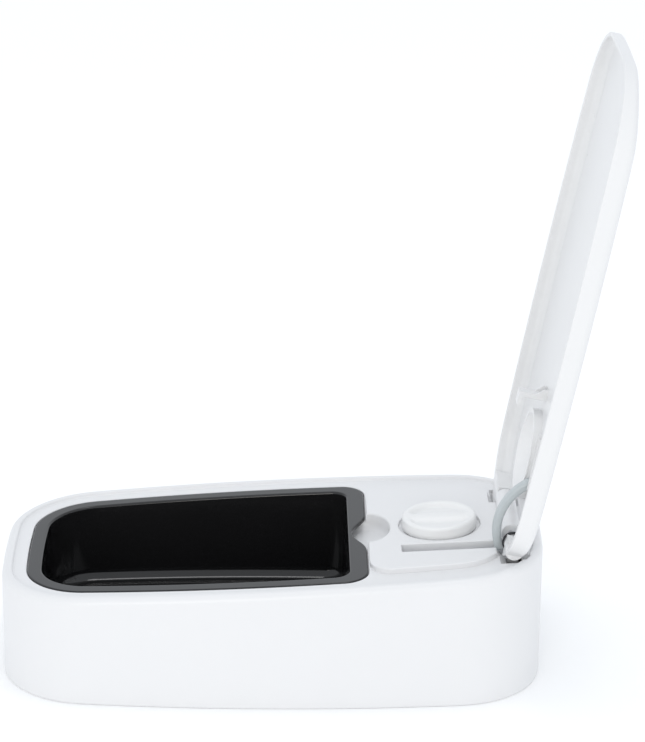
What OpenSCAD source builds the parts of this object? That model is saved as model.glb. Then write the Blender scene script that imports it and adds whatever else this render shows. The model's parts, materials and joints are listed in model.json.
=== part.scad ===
// Timed pet feeder: one removable food bowl under a sprung lid that a dial timer lets go.
// Millimetres. X is the width, Y runs from the bowl end to the hinge end, Z is up.
// The origin is the centre of the footprint. The lid is drawn open, as it stands after feeding.

/* [Body] */
// Length of the body, bowl end to hinge end
body_l = 240; // [238:0.5:242]
// Width of the body across its middle
body_w = 130.6; // [129:0.2:132]
// Height of the wall at the bowl end
front_h = 48.2; // [47.8:0.1:48.8]
// Height of the wall at the hinge end
rear_h = 61.9; // [61.4:0.1:62.4]
// Radius of the body's four corners in plan
corner_r = 40; // [39:0.25:41]
// How far each long side bows out from end to end
side_bow = 8.5; // [8:0.1:9]
// How far each end bows out
end_bow = 3; // [2.5:0.1:3.5]
// Thickness of the moulded outer walls
wall = 2.4; // [2.2:0.1:2.6]

/* [Bowl] */
// Level of the bowl's floor above the table
bowl_floor_z = 12.5; // [12:0.25:14]
// Thickness of the bowl's wall
bowl_wall = 1.5; // [1.2:0.1:1.6]
// Half width of the finger notch in the bowl's rear rim
notch_half = 19; // [17:0.5:20]

/* [Lid] */
// Angle that the lid stands open from closed
open_angle = 104.6; // [100:0.2:106]
// Thickness of the lid's wall and roof
lid_wall = 2; // [1.8:0.1:2.2]
// Radius of the round dial window in the lid
window_r = 18.5; // [18:0.1:19]

/* [Dial and timer] */
// Radius of the dial knob
knob_r = 16.6; // [16:0.1:17]
// Height of the knob's grip above the raised deck
knob_rise = 4.5; // [4:0.25:5]
// Teeth on the gear that turns with the dial
dial_teeth = 40; // [40]
// Teeth on the timer's pinion
pinion_teeth = 10; // [10]
// Gear module, pitch diameter over teeth
gear_module = 0.75; // [0.75]

/* [Hidden] */
$fn = 64;

// Deck: the sloping top. Deck coordinates are x, s along the slope and t square to it,
// with t = 0 on the wall's top edge.
slope = atan((rear_h - front_h) / body_l);
mid_h = (front_h + rear_h) / 2;
platform_t = 1;
ledge_t = -1.5;
skin_t = -3.7;
shoulder_inset = 4.6;
platform_inset = 17;
platform_corner = 10;
far = 200;

// Bowl and its seat, as insets from the body's outline and rear edges along s
rim_inset = 10.9;
rim_rear = 41.9;
rim_corner = 11;
rim_top_t = -1.3;
rim_thick = 1.9;
bowl_inset = 15.9;
bowl_rear = 35.2;
bowl_corner = 7;
seat_gap = 0.4;
fillet_steps = [[0, 4.6], [0.7, 2.8], [2, 1.4], [4, 0.5]];
notch_depth = 6.2;

// Finger scoop
scoop_half = 16;
scoop_rear = 52.7;
scoop_floor_t = -6.8;
scoop_wall = 1.3;

// Hinge, in deck coordinates
hinge_s = 106;
hinge_t = 3.4;
pin_r = 1.5;
running = 0.05;
knuckle_r = 4;
knuckle_in = 28.4;
ear_in = 32;
ear_out = 41;
far_ear_in = 21.8;
ears = [[-ear_out, -far_ear_in], [ear_in, ear_out]];
pin_end = 40;
barrel_r = 7.4;
block_half = 20.6;
block_r = 4.4;
well_in = 21.2;
well_out = 41.4;
well_r = 7.9;
well_wall = 1.6;

lid_coil_r = 4.4;
lid_coil_l = 1.9;
lid_wire_r = 0.4;
spring_knuckle_r = 3.6;

// Lid, closed, in deck coordinates
lid_inset = 5.7;
lid_rim_t = -0.2;
lid_roof_t = 6.8;
lid_top_t = lid_roof_t + 0.2 + lid_wall;
lid_notch_r = 7.2;
ring_t = 3;
catch_s = 47.2;
catch_half = 3;
hook_t = -5.6;

// Lift arm: a flat curved arm that lies in the groove when the lid is shut
arm_x = 25;
arm_w = 5.2;
arm_thick = 3.9;
arm_r = 24.9;
arm_pivot = [101, 58];
arm_centre = [123.6, 68.4];
arm_from = 118;
arm_to = 204;
nose_r = 1.9;
hub_r = 3.2;
arm_pin_r = 1.4;
groove_in = 21;
groove_out = 29;
groove_front = 57.2;
groove_rear = 106.5;
groove_floor_t = -9;

// Dial, cam and latch
dial_s = 75;
pocket_x = 8.7;
pocket_up = 6.6;
pocket_r = 9;
pocket_edge = 14.4;
recess_r = 18.4;
recess_t = -0.6;
bay_half = 18.6;
bay_front = 54;
bay_rear = 97.2;
bay_t = -2;
shaft_r = 2.5;
shaft_running = 0.06;
latch_top_t = -2.3;
latch_t = -3.7;
latch_travel = 2;
tooth_tip = 85.9;
cam_r = 6;
cam_reach = 9.6;
nub_r = 1.2;
cam_angle = 107;

// Timer
plate_top_t = -5.4;
plate_t = -7;
gear_top_t = -8;
gear_t = -11;
gear_gap = gear_module * (dial_teeth + pinion_teeth) / 2;
pinion_s = dial_s + gear_gap;
pillar_spots = [[-15.2, 59.5], [15.2, 59.5], [-15.2, 91], [15.2, 91]];
plate_screws = [[-22, 60], [-9, 99.6], [9, 99.6]];
cover_top_t = -13.8;
cover_t = -15.2;
case_t = -30;
board_top_t = -22.8;
lead_exit = [70, -22];

// Base
base_z = 1.6;
base_top_z = 4.4;
screw_spots = [[53.4, -62], [54.6, 20], [50, 86]];
feet_spots = [[44, -72], [34, 98]];
foot_r = 7;
cell_y = 61;
cell_z = 11.4;
cell_r = 7.1;
box_half = 29.4;
box_y = 7.4;
box_roof_z = 18.9;
box_wall = 1.6;
door_front = 50;
door_rear = 72;
door_travel = 5.5;
lead_r = 0.7;

// ---- outline of the body: three arcs a quarter, each tangent to the next ----

half_w = body_w / 2;
half_l = body_l / 2;
side_r = (pow(half_l, 2) + pow(side_bow, 2)) / (2 * side_bow);
end_half = half_w - side_bow;
end_r = (pow(end_half, 2) + pow(end_bow, 2)) / (2 * end_bow);
side_c = [half_w - side_r, 0];
end_c = [0, half_l - end_r];
span = norm(end_c - side_c);
along = (end_c - side_c) / span;
reach_side = side_r - corner_r;
reach_end = end_r - corner_r;
foot = (pow(reach_side, 2) - pow(reach_end, 2) + pow(span, 2)) / (2 * span);
rise = sqrt(pow(reach_side, 2) - pow(foot, 2));
corner_c = side_c + foot * along + rise * [-along[1], along[0]];
side_to = atan2(corner_c[1] - side_c[1], corner_c[0] - side_c[0]);
end_from = atan2(corner_c[1] - end_c[1], corner_c[0] - end_c[0]);

function arc(c, r, from, to, n, first) =
  [for (i = [first:n]) c + r * [cos(from + (to - from) * i / n), sin(from + (to - from) * i / n)]];

function quarter(inset) = concat(
  arc(side_c, side_r - inset, 0, side_to, 4, 0),
  arc(corner_c, corner_r - inset, side_to, end_from, 9, 1),
  arc(end_c, end_r - inset, end_from, 90, 2, 1));

function outline(inset) =
  let (q = quarter(inset), n = len(q) - 1)
  concat(
    q,
    [for (i = [n - 1:-1:0]) [-q[i][0], q[i][1]]],
    [for (i = [1:n]) [-q[i][0], -q[i][1]]],
    [for (i = [n - 1:-1:1]) [q[i][0], -q[i][1]]]);

// ---- shared shapes ----

module on_deck() {
  translate([0, 0, mid_h])
    rotate([slope, 0, 0])
      children();
}

module lid_open() {
  on_deck()
    translate([0, hinge_s, hinge_t])
      rotate([-open_angle, 0, 0])
        translate([0, -hinge_s, -hinge_t])
          children();
}

module prism(inset, low, high) {
  translate([0, 0, low])
    linear_extrude(height = high - low)
      polygon(outline(inset));
}

module block(low, high) {
  translate(low)
    cube(high - low);
}

module below_deck(t) {
  on_deck()
    block([-far, -far, -far], [far, far, t]);
}

module rod_x(from, to, r, s, t) {
  translate([from, s, t])
    rotate([0, 90, 0])
      cylinder(r = r, h = to - from);
}

module post(x, s, low, high, r) {
  translate([x, s, low])
    cylinder(r = r, h = high - low);
}

module both_sides() {
  children();
  mirror([1, 0, 0])
    children();
}

// A plan that follows the body at one inset and ends square at the rear with round corners
module bay_plan(inset, rear, corner) {
  half = half_w - inset;
  intersection() {
    polygon(outline(inset));
    union() {
      translate([-half, -far])
        square([2 * half, far + rear - corner]);
      translate([-half + corner, -far])
        square([2 * (half - corner), far + rear]);
      for (side = [-1, 1])
        translate([side * (half - corner), rear - corner])
          circle(r = corner);
    }
  }
}

module platform_plan(inset) {
  front = rim_rear + 0.9;
  half = half_w - inset - 0.3;
  intersection() {
    polygon(outline(inset));
    union() {
      translate([-half, front + platform_corner])
        square([2 * half, far]);
      translate([-half + platform_corner, front])
        square([2 * (half - platform_corner), far]);
      for (side = [-1, 1])
        translate([side * (half - platform_corner), front + platform_corner])
          circle(r = platform_corner);
    }
  }
}

// The finger notch: one smooth wave, deepest in the middle
function wave(grow) = [for (i = [-12:12])
  let (x = i * (notch_half + grow) / 12)
  [x, rim_rear - grow - notch_depth * (1 + cos(15 * i)) / 2]];

module notch_plan() {
  polygon(concat([[-notch_half, rim_rear + 5]], wave(0), [[notch_half, rim_rear + 5]]));
}

module scoop_plan(grow) {
  a = scoop_half + grow;
  b = scoop_rear - rim_rear + grow;
  polygon(concat(
    [[a, bowl_rear - 3], [-a, bowl_rear - 3]],
    [for (i = [18:-1:0]) [a * cos(10 * i), rim_rear + b * sin(10 * i)]]));
}

// ---- sweeps for springs and leads ----

function unit(v) = v / norm(v);

function sides_at(p, dir, r) =
  let (
    u = unit(cross(dir, abs(dir[2]) < 0.9 ? [0, 0, 1] : [1, 0, 0])),
    v = cross(dir, u))
  [for (k = [0:7]) p + r * (cos(45 * k) * u + sin(45 * k) * v)];

module sweep(path, r) {
  n = len(path) - 1;
  rings = [for (i = [0:n])
    sides_at(path[i], unit(path[min(i + 1, n)] - path[max(i - 1, 0)]), r)];
  polyhedron(
    points = [for (ring = rings) each ring],
    faces = concat(
      [[for (k = [0:7]) k]],
      [for (i = [0:n - 1]) for (k = [0:7])
        [8 * i + k, 8 * i + 8 + k, 8 * i + 8 + (k + 1) % 8]],
      [for (i = [0:n - 1]) for (k = [0:7])
        [8 * i + k, 8 * i + 8 + (k + 1) % 8, 8 * i + (k + 1) % 8]],
      [[for (k = [7:-1:0]) 8 * n + k]]));
}

// Smooth curve through the given points
function curve_point(a, b, c, d, u) = 0.5 * (
  2 * b + (c - a) * u
  + (2 * a - 5 * b + 4 * c - d) * pow(u, 2)
  + (3 * b - a - 3 * c + d) * pow(u, 3));

function smooth(p, steps) =
  let (n = len(p) - 1)
  concat(
    [for (i = [0:n - 1]) for (j = [0:steps - 1])
      curve_point(p[max(i - 1, 0)], p[i], p[i + 1], p[min(i + 2, n)], j / steps)],
    [p[n]]);

// Helix about the X axis
function helix(r, length, turns, per_turn) = [for (i = [0:turns * per_turn])
  [length * i / (turns * per_turn),
   r * cos(360 * i / per_turn),
   r * sin(360 * i / per_turn)]];

// ---- gears: involute flanks with 20 degree pressure angle ----

function inv_deg(base, r) =
  let (a = acos(min(1, base / r)))
  tan(a) * 180 / PI - a;

function tooth_half(teeth, r, slack) =
  let (pitch = gear_module * teeth / 2, base = pitch * cos(20))
  90 / teeth - slack / pitch * 180 / PI + inv_deg(base, pitch) - inv_deg(base, max(r, base));

module gear_plan(teeth, tip, root, slack) {
  pitch = gear_module * teeth / 2;
  base = pitch * cos(20);
  low = max(base, root);
  flank = concat([root], [for (i = [0:4]) low + (tip - low) * (i + 0.01) / 4.01]);
  polygon([for (k = [0:teeth - 1]) each concat(
    [for (r = flank)
      let (a = 360 * k / teeth - tooth_half(teeth, r, slack)) r * [cos(a), sin(a)]],
    [for (i = [len(flank) - 1:-1:0])
      let (r = flank[i], a = 360 * k / teeth + tooth_half(teeth, r, slack)) r * [cos(a), sin(a)]])]);
}

// ---- housing ----

module housing_shell() {
  difference() {
    intersection() {
      prism(0, 0, rear_h + 20);
      below_deck(platform_t);
    }
    intersection() {
      prism(wall, -1, rear_h);
      below_deck(skin_t);
    }
    on_deck()
      linear_extrude(height = 10)
        difference() {
          square(2 * far, center = true);
          platform_plan(platform_inset);
        }
    on_deck()
      translate([0, 0, ledge_t])
        linear_extrude(height = 10)
          difference() {
            polygon(outline(shoulder_inset));
            platform_plan(platform_inset);
          }
  }
}

module hinge_block() {
  block([-block_half, 100, skin_t - 1.2], [block_half, 110.4, ledge_t + 0.5]);
  block([12.6, 97.6, skin_t - 4], [block_half, 104.8, ledge_t + 0.3]);
  block([-block_half, 102.6, ledge_t], [block_half, 109.4, hinge_t]);
  rod_x(-block_half, block_half, block_r, hinge_s, hinge_t);
}

module well_pockets() {
  intersection() {
    both_sides()
      rod_x(well_in - well_wall, well_out + well_wall, well_r + well_wall, hinge_s, hinge_t);
    block([-far, 0, -far], [far, far, skin_t + 1]);
    prism(1, -20, 0);
  }
}

module well_cuts() {
  intersection() {
    both_sides()
      rod_x(well_in, well_out, well_r, hinge_s, hinge_t);
    prism(wall + 0.4, -20, 20);
  }
}

module seats() {
  on_deck() {
    translate([0, 0, rim_top_t - rim_thick - 2])
      linear_extrude(height = 2.4)
        bay_plan(rim_inset - 2.4, rim_rear + 2.4, rim_corner + 2);
    translate([0, 0, scoop_floor_t - scoop_wall])
      linear_extrude(height = skin_t - scoop_floor_t + scoop_wall + 0.5)
        scoop_plan(scoop_wall);
    block([groove_in - 1.6, groove_front - 1.6, groove_floor_t - 1.6],
          [groove_out + 1.6, groove_rear + 1.6, skin_t + 0.5]);
    well_pockets();
    for (spot = plate_screws)
      post(spot[0], spot[1], plate_top_t, skin_t + 0.5, 2.6);
  }
}

module base_posts() {
  intersection() {
    both_sides()
      for (spot = screw_spots)
        post(spot[0], spot[1], base_top_z, rear_h, 3.4);
    below_deck(skin_t + 0.5);
  }
}

module bowl_hole() {
  linear_extrude(height = far)
    bay_plan(bowl_inset - 0.5, bowl_rear + 0.5, bowl_corner + 0.5);
  on_deck()
    translate([0, 0, rim_top_t - rim_thick])
      linear_extrude(height = 10)
        bay_plan(rim_inset - seat_gap, rim_rear + seat_gap, rim_corner + seat_gap);
}

module deck_cuts() {
  on_deck() {
    translate([0, 0, scoop_floor_t])
      linear_extrude(height = 20)
        scoop_plan(0);
    post(0, dial_s, recess_t, 10, recess_r);
    post(0, dial_s, -10, 10, shaft_r + shaft_running);
    block([-bay_half, bay_front, plate_top_t], [bay_half, bay_rear, bay_t]);
    block([-4.3, scoop_rear - 2, latch_t - 0.25], [4.3, bay_front + 1, bay_t]);
    block([groove_in, groove_front, groove_floor_t], [groove_out, groove_rear, 20]);
    well_cuts();
    rod_x(-block_half - 1, block_half + 1, pin_r, hinge_s, hinge_t);
    for (spot = plate_screws)
      post(spot[0], spot[1], plate_top_t - 1, -2.6, 1);
  }
  rod_x(13, well_in + 1, arm_pin_r, arm_pivot[0], arm_pivot[1]);
  both_sides()
    for (spot = screw_spots)
      post(spot[0], spot[1], base_top_z - 1, 14, 1.25);
}

module housing() {
  color([0.95, 0.95, 0.96])
    difference() {
      union() {
        housing_shell();
        seats();
        base_posts();
        on_deck()
          hinge_block();
      }
      bowl_hole();
      deck_cuts();
    }
}

// ---- base ----

module door_recess(low_y, high_y) {
  block([-30.1, low_y, 0], [30.1, high_y, 3.3]);
  both_sides()
    block([30, low_y + 1.6, 2.1], [31.9, high_y - 3.5, 3.2]);
}

module base_cover() {
  color([0.9, 0.9, 0.91])
    difference() {
      union() {
        prism(wall + 0.3, base_z, base_top_z);
        block([-box_half - box_wall, cell_y - box_y - box_wall, base_z],
              [box_half + box_wall, cell_y + box_y + box_wall, box_roof_z + box_wall]);
      }
      block([-box_half, cell_y - box_y, 0], [box_half, cell_y + box_y, box_roof_z]);
      door_recess(door_front - door_travel - 0.2, door_rear + 0.2);
      both_sides() {
        block([box_half - 1, cell_y - 1.2, 15.2], [box_half + 3, cell_y + 1.2, 16.2]);
        for (spot = screw_spots) {
          post(spot[0], spot[1], 0, base_top_z + 1, 1.7);
          post(spot[0], spot[1], 0, 3.1, 3);
        }
        for (spot = feet_spots)
          post(spot[0], spot[1], 0, 2.4, foot_r + 0.1);
      }
    }
}

module base_screws() {
  color([0.62, 0.63, 0.65])
    both_sides()
      for (spot = screw_spots)
        difference() {
          union() {
            post(spot[0], spot[1], 1.7, 3.1, 2.7);
            post(spot[0], spot[1], 3.1, 12.5, 1.25);
          }
          block([spot[0] - 1.6, spot[1] - 0.3, 1], [spot[0] + 1.6, spot[1] + 0.3, 2.3]);
          block([spot[0] - 0.3, spot[1] - 1.6, 1], [spot[0] + 0.3, spot[1] + 1.6, 2.3]);
        }
}

module rubber_feet() {
  color([0.2, 0.2, 0.21])
    both_sides()
      for (spot = feet_spots)
        post(spot[0], spot[1], 0, 2.4, foot_r);
}

module battery_door() {
  color([0.9, 0.9, 0.91])
    difference() {
      union() {
        block([-29.8, door_front, 1.75], [29.8, door_rear, 3.1]);
        both_sides() {
          block([29.7, 52, 2.3], [31.5, 57, 3]);
          block([29.7, 62, 2.3], [31.5, 67, 3]);
        }
      }
      for (i = [0:4])
        block([-7, door_front + 2 + 2 * i, 1], [7, door_front + 3 + 2 * i, 2.2]);
    }
}

module battery() {
  color([0.25, 0.27, 0.3]) {
    rod_x(-21.8, 27.5, cell_r, cell_y, cell_z);
    rod_x(27.5, 28.65, 2.7, cell_y, cell_z);
  }
}

module contact_plate() {
  color([0.75, 0.75, 0.72]) {
    block([28.7, cell_y - 5, 6], [29.3, cell_y + 5, 17.2]);
    block([29.2, cell_y - 1, 15.4], [33, cell_y + 1, 16]);
  }
}

module contact_spring() {
  color([0.75, 0.75, 0.72]) {
    block([-29.3, cell_y - 5, 6], [-28.9, cell_y + 5, 17.2]);
    block([-33, cell_y - 1, 15.4], [-29.2, cell_y + 1, 16]);
    translate([-28.6, cell_y, cell_z])
      sweep(helix(4, 6.3, 3, 12), 0.45);
  }
}

// ---- bowl ----

module bowl() {
  color([0.09, 0.09, 0.1])
    difference() {
      union() {
        on_deck()
          translate([0, 0, rim_top_t - rim_thick])
            linear_extrude(height = rim_thick)
              bay_plan(rim_inset, rim_rear, rim_corner);
        intersection() {
          translate([0, 0, bowl_floor_z - bowl_wall])
            linear_extrude(height = rear_h)
              bay_plan(bowl_inset, bowl_rear, bowl_corner);
          below_deck(rim_top_t - 0.2);
        }
      }
      on_deck()
        translate([0, 0, rim_top_t - 5])
          linear_extrude(height = 20)
            notch_plan();
      for (fillet = fillet_steps)
        translate([0, 0, bowl_floor_z + fillet[0]])
          linear_extrude(height = far)
            bay_plan(bowl_inset + bowl_wall + fillet[1] - 0.5,
                     bowl_rear - bowl_wall - fillet[1] + 0.5, bowl_corner - 1);
    }
}

// ---- lid ----

module lid_blank() {
  prism(lid_inset, lid_rim_t, lid_top_t - 2.2);
  prism(lid_inset + 0.7, lid_rim_t, lid_top_t - 1);
  prism(lid_inset + 2.2, lid_rim_t, lid_top_t);
}

module lid_shell() {
  difference() {
    lid_blank();
    prism(lid_inset + lid_wall, lid_rim_t - 1, lid_roof_t);
  }
  translate([0, dial_s, ring_t])
    cylinder(r = window_r + 2, h = lid_roof_t - ring_t + 0.5);
  for (ear = ears) {
    intersection() {
      lid_blank();
      block([ear[0], hinge_s - 4, lid_rim_t], [ear[1], hinge_s + 20, lid_top_t]);
    }
    rod_x(ear[0], ear[1], knuckle_r, hinge_s, hinge_t);
  }
}

module lid_catch() {
  block([-catch_half, catch_s - 1.2, hook_t], [catch_half, catch_s + 1.2, lid_roof_t + 0.5]);
  block([-catch_half, catch_s, hook_t], [catch_half, scoop_rear - 0.6, hook_t + 1.6]);
  both_sides()
    block([catch_half - 1, catch_s - 4, 1.4], [catch_half, catch_s, lid_roof_t + 0.5]);
}

module arm_guide() {
  for (x = [arm_x - 4, arm_x + 3.1])
    block([x, 57, 3.8], [x + 0.9, 81, lid_roof_t + 0.5]);
}

module behind_hinge() {
  difference() {
    block([-far, hinge_s, -20], [far, far, 40]);
    rod_x(-far, far, barrel_r, hinge_s, hinge_t);
  }
}

module lid() {
  color([0.96, 0.96, 0.97])
    lid_open()
      difference() {
        union() {
          difference() {
            lid_shell();
            block([-far_ear_in, hinge_s - lid_notch_r, lid_roof_t - 10],
                  [ear_in, far, lid_top_t + 1]);
            behind_hinge();
            post(0, dial_s, -5, 20, window_r);
          }
          rod_x(knuckle_in, ear_in + 1, spring_knuckle_r, hinge_s, hinge_t);
          lid_catch();
          arm_guide();
        }
        both_sides()
          rod_x(far_ear_in - 1, pin_end + 0.2, pin_r + running, hinge_s, hinge_t);
      }
}

module hinge_pin() {
  color([0.7, 0.71, 0.73])
    on_deck()
      rod_x(-pin_end, pin_end, pin_r, hinge_s, hinge_t);
}

module lid_spring() {
  color([0.16, 0.16, 0.17])
    on_deck()
      translate([knuckle_in + 0.8, hinge_s, hinge_t])
        sweep(helix(lid_coil_r, lid_coil_l, 2, 18), lid_wire_r);
}

// ---- lift arm ----

module lift_arm() {
  color([0.77, 0.81, 0.82])
    difference() {
      union() {
        translate([arm_x - arm_w / 2, arm_centre[0], arm_centre[1]])
          rotate([90, 0, 90])
            rotate([0, 0, arm_from])
              rotate_extrude(angle = arm_to - arm_from, $fn = 180)
                translate([arm_r - arm_thick / 2, 0])
                  square([arm_thick, arm_w]);
        rod_x(arm_x - arm_w / 2 + 0.2, arm_x + arm_w / 2 - 0.2, hub_r, arm_pivot[0], arm_pivot[1]);
        rod_x(arm_x - arm_w / 2 + 0.2, arm_x + arm_w / 2 - 0.2, nose_r,
              arm_centre[0] + arm_r * cos(arm_from), arm_centre[1] + arm_r * sin(arm_from));
      }
      rod_x(0, far, arm_pin_r + running, arm_pivot[0], arm_pivot[1]);
    }
}

module arm_pin() {
  color([0.7, 0.71, 0.73]) {
    rod_x(13, 28, arm_pin_r, arm_pivot[0], arm_pivot[1]);
    rod_x(27.9, 28.6, 2.4, arm_pivot[0], arm_pivot[1]);
  }
}

// ---- dial, cam and gears ----

module dial_knob() {
  top = platform_t + knob_rise;
  color([0.96, 0.96, 0.96])
    on_deck()
      translate([0, dial_s, 0])
        difference() {
          union() {
            post(0, 0, recess_t + 0.3, top - 1, knob_r);
            post(0, 0, top - 1.2, top, knob_r - 1);
          }
          for (side = [-1, 1])
            intersection() {
              translate([side * pocket_x, -far / 2, top + pocket_up])
                rotate([-90, 0, 0])
                  cylinder(r = pocket_r, h = far);
              post(0, 0, 0, top + 1, pocket_edge);
            }
          difference() {
            post(0, 0, -2, 1.8, knob_r - 2);
            post(0, 0, -3, 4, 5);
          }
          post(0, 0, -2, 3, shaft_r);
        }
}

module dial_shaft() {
  color([0.7, 0.71, 0.73])
    on_deck()
      post(0, dial_s, -13, 3, shaft_r);
}

module trip_cam() {
  color([0.86, 0.86, 0.82])
    on_deck()
      translate([0, dial_s, 0])
        rotate([0, 0, cam_angle])
          difference() {
            union() {
              post(0, 0, latch_t - 0.9, latch_top_t, cam_r);
              block([cam_r - 2, -nub_r, latch_t - 0.9], [cam_reach, nub_r, latch_top_t]);
              post(cam_reach, 0, latch_t - 0.9, latch_top_t, nub_r);
            }
            post(0, 0, -10, 10, shaft_r);
          }
}

module dial_gear() {
  pitch = gear_module * dial_teeth / 2;
  color([0.86, 0.86, 0.82])
    on_deck()
      translate([0, dial_s, gear_t])
        difference() {
          union() {
            linear_extrude(height = 2)
              gear_plan(dial_teeth, pitch + 0.6 * gear_module, pitch - 1.1 * gear_module, 0.06);
            cylinder(r = 5, h = gear_top_t - gear_t);
          }
          translate([0, 0, -1])
            cylinder(r = shaft_r, h = 10);
          for (i = [0:5])
            rotate([0, 0, 60 * i])
              translate([9, 0, -1])
                cylinder(r = 2.2, h = 5);
        }
}

module shaft_clip() {
  color([0.4, 0.41, 0.43])
    on_deck()
      translate([0, dial_s, gear_t - 1])
        difference() {
          cylinder(r = 4.2, h = 0.8);
          translate([0, 0, -1])
            cylinder(r = shaft_r, h = 3);
          block([-1.6, 0, -1], [1.6, 8, 2]);
        }
}

module timer_pinion() {
  pitch = gear_module * pinion_teeth / 2;
  color([0.86, 0.86, 0.82])
    on_deck()
      translate([0, pinion_s, 0]) {
        translate([0, 0, gear_t - 0.4])
          linear_extrude(height = 2.8)
            gear_plan(pinion_teeth, pitch + 0.8 * gear_module, pitch - gear_module, 0.06);
        post(0, 0, cover_t - 3, gear_t, 1);
        post(0, 0, cover_t - 3.4, cover_t - 1, 2.4);
      }
}

module mechanism_plate() {
  color([0.8, 0.8, 0.78])
    on_deck()
      difference() {
        union() {
          block([-18, 56, plate_t], [18, 96.4, plate_top_t]);
          block([-11.8, 96, plate_t], [11.8, 102.6, plate_top_t]);
          block([-25.2, 56.8, plate_t], [-17, 63.2, plate_top_t]);
          both_sides()
            block([15.2, 58, plate_top_t - 0.5], [17.2, 93, latch_t - 0.15]);
          for (spot = pillar_spots)
            post(spot[0], spot[1], cover_top_t, plate_t + 0.5, 2.4);
        }
        post(0, dial_s, -20, 0, shaft_r + shaft_running);
        for (spot = plate_screws)
          post(spot[0], spot[1], -20, 0, 1.3);
        for (spot = pillar_spots)
          post(spot[0], spot[1], -20, plate_t - 1, 0.9);
      }
}

module mechanism_screws() {
  color([0.62, 0.63, 0.65])
    on_deck()
      for (spot = plate_screws) {
        post(spot[0], spot[1], plate_t - 1.3, plate_t, 2.2);
        post(spot[0], spot[1], plate_t - 0.1, -3, 1);
      }
}

// ---- timer ----

module timer_cover() {
  color([0.3, 0.31, 0.33])
    on_deck()
      difference() {
        block([-17.9, 56.8, cover_t], [17.9, 99.6, cover_top_t]);
        post(0, pinion_s, -20, 0, 1 + running);
        for (spot = pillar_spots)
          post(spot[0], spot[1], -20, 0, 1.2);
      }
}

module timer_case() {
  color([0.3, 0.31, 0.33])
    on_deck() {
      difference() {
        block([-12, 63.5, case_t], [12, 99, cover_t]);
        block([-10.5, 65, case_t + 1.5], [10.5, 97.5, cover_t + 1]);
        rod_x(-20, 20, 1.2, lead_exit[0], lead_exit[1]);
      }
      both_sides()
        for (s = [67, 95.5])
          post(8.5, s, case_t + 1, board_top_t - 1.2, 1.4);
    }
}

module timer_screws() {
  color([0.62, 0.63, 0.65])
    on_deck()
      for (spot = pillar_spots) {
        post(spot[0], spot[1], cover_t - 1.2, cover_t, 2);
        post(spot[0], spot[1], cover_t - 0.1, plate_t - 1.6, 0.9);
      }
}

module circuit_board() {
  color([0.12, 0.4, 0.25])
    on_deck() {
      block([-10.2, 65.4, board_top_t - 1.2], [10.2, 97, board_top_t]);
      block([-4, 84, board_top_t - 0.1], [4, 91, board_top_t + 1.4]);
      post(7.6, 86, board_top_t - 0.1, board_top_t + 4, 1.6);
    }
}

module motor_coil() {
  color([0.72, 0.42, 0.2])
    on_deck() {
      rod_x(-5.2, 5.2, 2.6, 77, board_top_t + 3.1);
      for (x = [-6.2, 5.2])
        rod_x(x, x + 1, 3.1, 77, board_top_t + 3.1);
    }
}

// ---- latch ----

module latch_bolt() {
  color([0.86, 0.86, 0.82])
    on_deck()
      difference() {
        union() {
          block([-4, scoop_rear - 0.2, latch_t], [4, 58, latch_top_t]);
          block([-17, 56.4, latch_t], [17, 92, latch_top_t]);
        }
        difference() {
          block([-13.4, 59.8, latch_t - 1], [13.4, 88.4, 0]);
          block([-1, tooth_tip, latch_t - 2], [1, 90, 1]);
        }
      }
}

module latch_spring() {
  color([0.7, 0.71, 0.73])
    on_deck()
      translate([0, 92.4, latch_t + 0.35])
        rotate([0, 0, 90])
          sweep(helix(0.85, 4.4, 5, 10), 0.2);
}

// ---- leads from the timer to the cell's contacts ----

lead_route = [
  [8.6, 71.2, 36.95], [12, 71.2, 36.95], [16, 71.2, 36.6], [24, 70.5, 33],
  [31, 67.5, 27], [34, 63.5, 21.5], [33.4, 61.8, 18.2], [32.2, 61, 16.75]
];

module lead() {
  sweep(smooth(lead_route, 4), lead_r);
}

module lead_red() {
  color([0.75, 0.1, 0.1])
    lead();
}

module lead_black() {
  color([0.08, 0.08, 0.08])
    mirror([1, 0, 0])
      lead();
}

housing();
base_cover();
base_screws();
rubber_feet();
battery_door();
battery();
contact_spring();
contact_plate();
bowl();
lid();
hinge_pin();
lid_spring();
lift_arm();
arm_pin();
dial_knob();
dial_shaft();
trip_cam();
dial_gear();
shaft_clip();
timer_pinion();
mechanism_plate();
mechanism_screws();
timer_cover();
timer_case();
timer_screws();
circuit_board();
motor_coil();
latch_bolt();
latch_spring();
lead_red();
lead_black();
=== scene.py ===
# Looks of a timed pet feeder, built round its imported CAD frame. Lengths below are millimetres
# in the CAD's own frame: X across, Y from the bowl end to the hinge end, Z up.
import json
import math

import bmesh
import bpy
from mathutils import Matrix, Vector


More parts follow.
